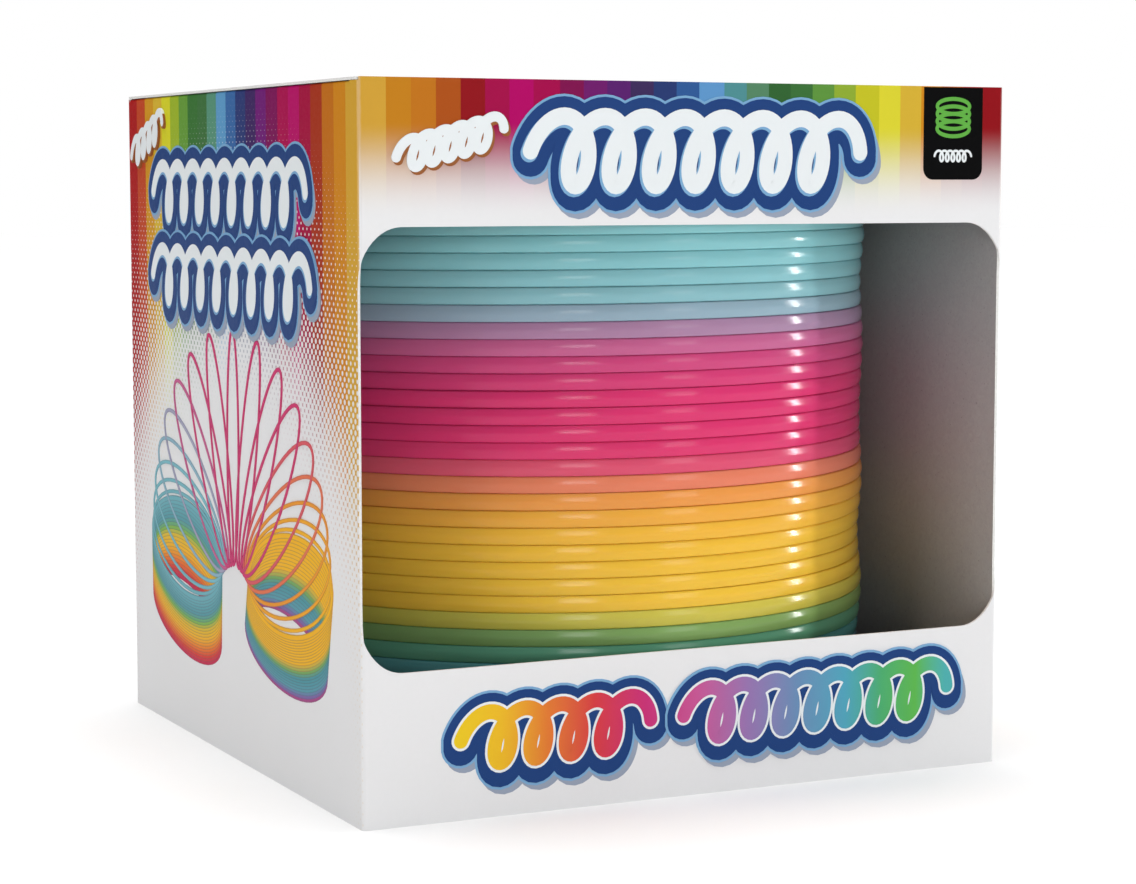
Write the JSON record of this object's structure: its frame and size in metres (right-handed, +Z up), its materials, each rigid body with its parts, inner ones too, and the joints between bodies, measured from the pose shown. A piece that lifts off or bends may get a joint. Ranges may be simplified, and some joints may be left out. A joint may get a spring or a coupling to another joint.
{
  "type": "boxed rainbow coil spring toy",
  "caption": "Large flat-wire rainbow plastic coil spring standing in a near-cubic folding window carton with a hinged tuck lid, dust flaps and glued base.",
  "frame": {"origin": "centre of the carton's footprint on its underside", "axes": "+Z up, along the coil's axis and the carton's height; the window front faces -Y and +X is to its right"},
  "size_m": [0.16, 0.16, 0.158],
  "materials": {
    "printed_board": "satin",
    "striped_board": "satin",
    "grey_board": "matte",
    "plastic_01": "gloss",
    "plastic_02": "gloss",
    "plastic_03": "gloss",
    "plastic_04": "gloss",
    "plastic_05": "gloss",
    "plastic_06": "gloss",
    "plastic_07": "gloss",
    "plastic_08": "gloss",
    "plastic_09": "gloss",
    "plastic_10": "gloss",
    "plastic_11": "gloss",
    "plastic_12": "gloss",
    "plastic_13": "gloss",
    "plastic_14": "gloss",
    "plastic_15": "gloss",
    "plastic_16": "gloss",
    "plastic_17": "gloss",
    "plastic_18": "gloss",
    "plastic_19": "gloss",
    "plastic_20": "gloss",
    "plastic_21": "gloss",
    "plastic_22": "gloss",
    "plastic_23": "gloss",
    "plastic_24": "gloss",
    "plastic_25": "gloss",
    "plastic_26": "gloss",
    "plastic_27": "gloss",
    "plastic_28": "gloss",
    "plastic_29": "gloss",
    "plastic_30": "gloss",
    "plastic_31": "gloss",
    "plastic_32": "gloss",
    "plastic_33": "gloss",
    "plastic_34": "gloss",
    "plastic_35": "gloss"
  },
  "bodies": {
    "carton_sleeve": {"left_side_panel": "printed_board", "right_side_panel": "printed_board", "back_panel": "printed_board", "front_header_panel": "striped_board", "front_lower_panel": "printed_board", "glue_flap": "grey_board", "bottom_flap_front": "printed_board", "bottom_flap_back": "grey_board", "bottom_flap_left": "grey_board", "bottom_flap_right": "grey_board", "coil_turn_01": "plastic_01"},
    "lid": {"lid_panel": "printed_board"},
    "tuck": {"tuck_flap": "printed_board"},
    "dust_left": {"dust_flap_left": "grey_board"},
    "dust_right": {"dust_flap_right": "grey_board"},
    "turn_02": {"coil_turn_02": "plastic_02"},
    "turn_03": {"coil_turn_03": "plastic_03"},
    "turn_04": {"coil_turn_04": "plastic_04"},
    "turn_05": {"coil_turn_05": "plastic_05"},
    "turn_06": {"coil_turn_06": "plastic_06"},
    "turn_07": {"coil_turn_07": "plastic_07"},
    "turn_08": {"coil_turn_08": "plastic_08"},
    "turn_09": {"coil_turn_09": "plastic_09"},
    "turn_10": {"coil_turn_10": "plastic_10"},
    "turn_11": {"coil_turn_11": "plastic_11"},
    "turn_12": {"coil_turn_12": "plastic_12"},
    "turn_13": {"coil_turn_13": "plastic_13"},
    "turn_14": {"coil_turn_14": "plastic_14"},
    "turn_15": {"coil_turn_15": "plastic_15"},
    "turn_16": {"coil_turn_16": "plastic_16"},
    "turn_17": {"coil_turn_17": "plastic_17"},
    "turn_18": {"coil_turn_18": "plastic_18"},
    "turn_19": {"coil_turn_19": "plastic_19"},
    "turn_20": {"coil_turn_20": "plastic_20"},
    "turn_21": {"coil_turn_21": "plastic_21"},
    "turn_22": {"coil_turn_22": "plastic_22"},
    "turn_23": {"coil_turn_23": "plastic_23"},
    "turn_24": {"coil_turn_24": "plastic_24"},
    "turn_25": {"coil_turn_25": "plastic_25"},
    "turn_26": {"coil_turn_26": "plastic_26"},
    "turn_27": {"coil_turn_27": "plastic_27"},
    "turn_28": {"coil_turn_28": "plastic_28"},
    "turn_29": {"coil_turn_29": "plastic_29"},
    "turn_30": {"coil_turn_30": "plastic_30"},
    "turn_31": {"coil_turn_31": "plastic_31"},
    "turn_32": {"coil_turn_32": "plastic_32"},
    "turn_33": {"coil_turn_33": "plastic_33"},
    "turn_34": {"coil_turn_34": "plastic_34"},
    "turn_35": {"coil_turn_35": "plastic_35"}
  },
  "joints": [
    {"name": "lid_hinge", "type": "hinge", "parent": "carton_sleeve", "child": "lid", "pos_m": [0, 0.08, 0.1574], "axis": [-1, 0, 0], "range_deg": [0, 180]},
    {"name": "tuck_fold", "type": "hinge", "parent": "lid", "child": "tuck", "pos_m": [0, -0.0793, 0.158], "axis": [-1, 0, 0], "range_deg": [0, 90]},
    {"name": "dust_left_fold", "type": "hinge", "parent": "carton_sleeve", "child": "dust_left", "pos_m": [-0.08, 0, 0.1567], "axis": [0, -1, 0], "range_deg": [0, 90]},
    {"name": "dust_right_fold", "type": "hinge", "parent": "carton_sleeve", "child": "dust_right", "pos_m": [0.08, 0, 0.1567], "axis": [0, 1, 0], "range_deg": [0, 90]},
    {"name": "coil_stretch", "type": "slide", "parent": "carton_sleeve", "child": "turn_35", "axis": [0, 0, 1], "range_m": [0, 0.017]},
    {"name": "turn_02_rise", "type": "slide", "parent": "carton_sleeve", "child": "turn_02", "axis": [0, 0, 1], "range_m": [0, 0.00051]},
    {"name": "turn_03_rise", "type": "slide", "parent": "carton_sleeve", "child": "turn_03", "axis": [0, 0, 1], "range_m": [0, 0.00101]},
    {"name": "turn_04_rise", "type": "slide", "parent": "carton_sleeve", "child": "turn_04", "axis": [0, 0, 1], "range_m": [0, 0.00151]},
    {"name": "turn_05_rise", "type": "slide", "parent": "carton_sleeve", "child": "turn_05", "axis": [0, 0, 1], "range_m": [0, 0.00201]},
    {"name": "turn_06_rise", "type": "slide", "parent": "carton_sleeve", "child": "turn_06", "axis": [0, 0, 1], "range_m": [0, 0.00251]},
    {"name": "turn_07_rise", "type": "slide", "parent": "carton_sleeve", "child": "turn_07", "axis": [0, 0, 1], "range_m": [0, 0.00301]},
    {"name": "turn_08_rise", "type": "slide", "parent": "carton_sleeve", "child": "turn_08", "axis": [0, 0, 1], "range_m": [0, 0.00351]},
    {"name": "turn_09_rise", "type": "slide", "parent": "carton_sleeve", "child": "turn_09", "axis": [0, 0, 1], "range_m": [0, 0.00401]},
    {"name": "turn_10_rise", "type": "slide", "parent": "carton_sleeve", "child": "turn_10", "axis": [0, 0, 1], "range_m": [0, 0.00451]},
    {"name": "turn_11_rise", "type": "slide", "parent": "carton_sleeve", "child": "turn_11", "axis": [0, 0, 1], "range_m": [0, 0.00501]},
    {"name": "turn_12_rise", "type": "slide", "parent": "carton_sleeve", "child": "turn_12", "axis": [0, 0, 1], "range_m": [0, 0.00551]},
    {"name": "turn_13_rise", "type": "slide", "parent": "carton_sleeve", "child": "turn_13", "axis": [0, 0, 1], "range_m": [0, 0.00601]},
    {"name": "turn_14_rise", "type": "slide", "parent": "carton_sleeve", "child": "turn_14", "axis": [0, 0, 1], "range_m": [0, 0.00651]},
    {"name": "turn_15_rise", "type": "slide", "parent": "carton_sleeve", "child": "turn_15", "axis": [0, 0, 1], "range_m": [0, 0.00701]},
    {"name": "turn_16_rise", "type": "slide", "parent": "carton_sleeve", "child": "turn_16", "axis": [0, 0, 1], "range_m": [0, 0.00751]},
    {"name": "turn_17_rise", "type": "slide", "parent": "carton_sleeve", "child": "turn_17", "axis": [0, 0, 1], "range_m": [0, 0.00801]},
    {"name": "turn_18_rise", "type": "slide", "parent": "carton_sleeve", "child": "turn_18", "axis": [0, 0, 1], "range_m": [0, 0.00851]},
    {"name": "turn_19_rise", "type": "slide", "parent": "carton_sleeve", "child": "turn_19", "axis": [0, 0, 1], "range_m": [0, 0.00901]},
    {"name": "turn_20_rise", "type": "slide", "parent": "carton_sleeve", "child": "turn_20", "axis": [0, 0, 1], "range_m": [0, 0.00951]},
    {"name": "turn_21_rise", "type": "slide", "parent": "carton_sleeve", "child": "turn_21", "axis": [0, 0, 1], "range_m": [0, 0.01001]},
    {"name": "turn_22_rise", "type": "slide", "parent": "carton_sleeve", "child": "turn_22", "axis": [0, 0, 1], "range_m": [0, 0.01051]},
    {"name": "turn_23_rise", "type": "slide", "parent": "carton_sleeve", "child": "turn_23", "axis": [0, 0, 1], "range_m": [0, 0.01101]},
    {"name": "turn_24_rise", "type": "slide", "parent": "carton_sleeve", "child": "turn_24", "axis": [0, 0, 1], "range_m": [0, 0.01151]},
    {"name": "turn_25_rise", "type": "slide", "parent": "carton_sleeve", "child": "turn_25", "axis": [0, 0, 1], "range_m": [0, 0.01201]},
    {"name": "turn_26_rise", "type": "slide", "parent": "carton_sleeve", "child": "turn_26", "axis": [0, 0, 1], "range_m": [0, 0.01251]},
    {"name": "turn_27_rise", "type": "slide", "parent": "carton_sleeve", "child": "turn_27", "axis": [0, 0, 1], "range_m": [0, 0.01301]},
    {"name": "turn_28_rise", "type": "slide", "parent": "carton_sleeve", "child": "turn_28", "axis": [0, 0, 1], "range_m": [0, 0.01351]},
    {"name": "turn_29_rise", "type": "slide", "parent": "carton_sleeve", "child": "turn_29", "axis": [0, 0, 1], "range_m": [0, 0.01401]},
    {"name": "turn_30_rise", "type": "slide", "parent": "carton_sleeve", "child": "turn_30", "axis": [0, 0, 1], "range_m": [0, 0.01451]},
    {"name": "turn_31_rise", "type": "slide", "parent": "carton_sleeve", "child": "turn_31", "axis": [0, 0, 1], "range_m": [0, 0.01501]},
    {"name": "turn_32_rise", "type": "slide", "parent": "carton_sleeve", "child": "turn_32", "axis": [0, 0, 1], "range_m": [0, 0.01551]},
    {"name": "turn_33_rise", "type": "slide", "parent": "carton_sleeve", "child": "turn_33", "axis": [0, 0, 1], "range_m": [0, 0.01601]},
    {"name": "turn_34_rise", "type": "slide", "parent": "carton_sleeve", "child": "turn_34", "axis": [0, 0, 1], "range_m": [0, 0.01651]}
  ],
  "couplings": [
    {"joint": "tuck_fold", "follows": "lid_hinge", "ratio": 0.5},
    {"joint": "dust_left_fold", "follows": "lid_hinge", "ratio": 0.5},
    {"joint": "dust_right_fold", "follows": "lid_hinge", "ratio": 0.5},
    {"joint": "turn_02_rise", "follows": "coil_stretch", "ratio": 0.029412},
    {"joint": "turn_03_rise", "follows": "coil_stretch", "ratio": 0.058824},
    {"joint": "turn_04_rise", "follows": "coil_stretch", "ratio": 0.088235},
    {"joint": "turn_05_rise", "follows": "coil_stretch", "ratio": 0.11765},
    {"joint": "turn_06_rise", "follows": "coil_stretch", "ratio": 0.14706},
    {"joint": "turn_07_rise", "follows": "coil_stretch", "ratio": 0.17647},
    {"joint": "turn_08_rise", "follows": "coil_stretch", "ratio": 0.20588},
    {"joint": "turn_09_rise", "follows": "coil_stretch", "ratio": 0.23529},
    {"joint": "turn_10_rise", "follows": "coil_stretch", "ratio": 0.26471},
    {"joint": "turn_11_rise", "follows": "coil_stretch", "ratio": 0.29412},
    {"joint": "turn_12_rise", "follows": "coil_stretch", "ratio": 0.32353},
    {"joint": "turn_13_rise", "follows": "coil_stretch", "ratio": 0.35294},
    {"joint": "turn_14_rise", "follows": "coil_stretch", "ratio": 0.38235},
    {"joint": "turn_15_rise", "follows": "coil_stretch", "ratio": 0.41176},
    {"joint": "turn_16_rise", "follows": "coil_stretch", "ratio": 0.44118},
    {"joint": "turn_17_rise", "follows": "coil_stretch", "ratio": 0.47059},
    {"joint": "turn_18_rise", "follows": "coil_stretch", "ratio": 0.5},
    {"joint": "turn_19_rise", "follows": "coil_stretch", "ratio": 0.52941},
    {"joint": "turn_20_rise", "follows": "coil_stretch", "ratio": 0.55882},
    {"joint": "turn_21_rise", "follows": "coil_stretch", "ratio": 0.58823},
    {"joint": "turn_22_rise", "follows": "coil_stretch", "ratio": 0.61765},
    {"joint": "turn_23_rise", "follows": "coil_stretch", "ratio": 0.64706},
    {"joint": "turn_24_rise", "follows": "coil_stretch", "ratio": 0.67647},
    {"joint": "turn_25_rise", "follows": "coil_stretch", "ratio": 0.70588},
    {"joint": "turn_26_rise", "follows": "coil_stretch", "ratio": 0.73529},
    {"joint": "turn_27_rise", "follows": "coil_stretch", "ratio": 0.76471},
    {"joint": "turn_28_rise", "follows": "coil_stretch", "ratio": 0.79412},
    {"joint": "turn_29_rise", "follows": "coil_stretch", "ratio": 0.82353},
    {"joint": "turn_30_rise", "follows": "coil_stretch", "ratio": 0.85294},
    {"joint": "turn_31_rise", "follows": "coil_stretch", "ratio": 0.88235},
    {"joint": "turn_32_rise", "follows": "coil_stretch", "ratio": 0.91177},
    {"joint": "turn_33_rise", "follows": "coil_stretch", "ratio": 0.94118},
    {"joint": "turn_34_rise", "follows": "coil_stretch", "ratio": 0.97059}
  ]
}
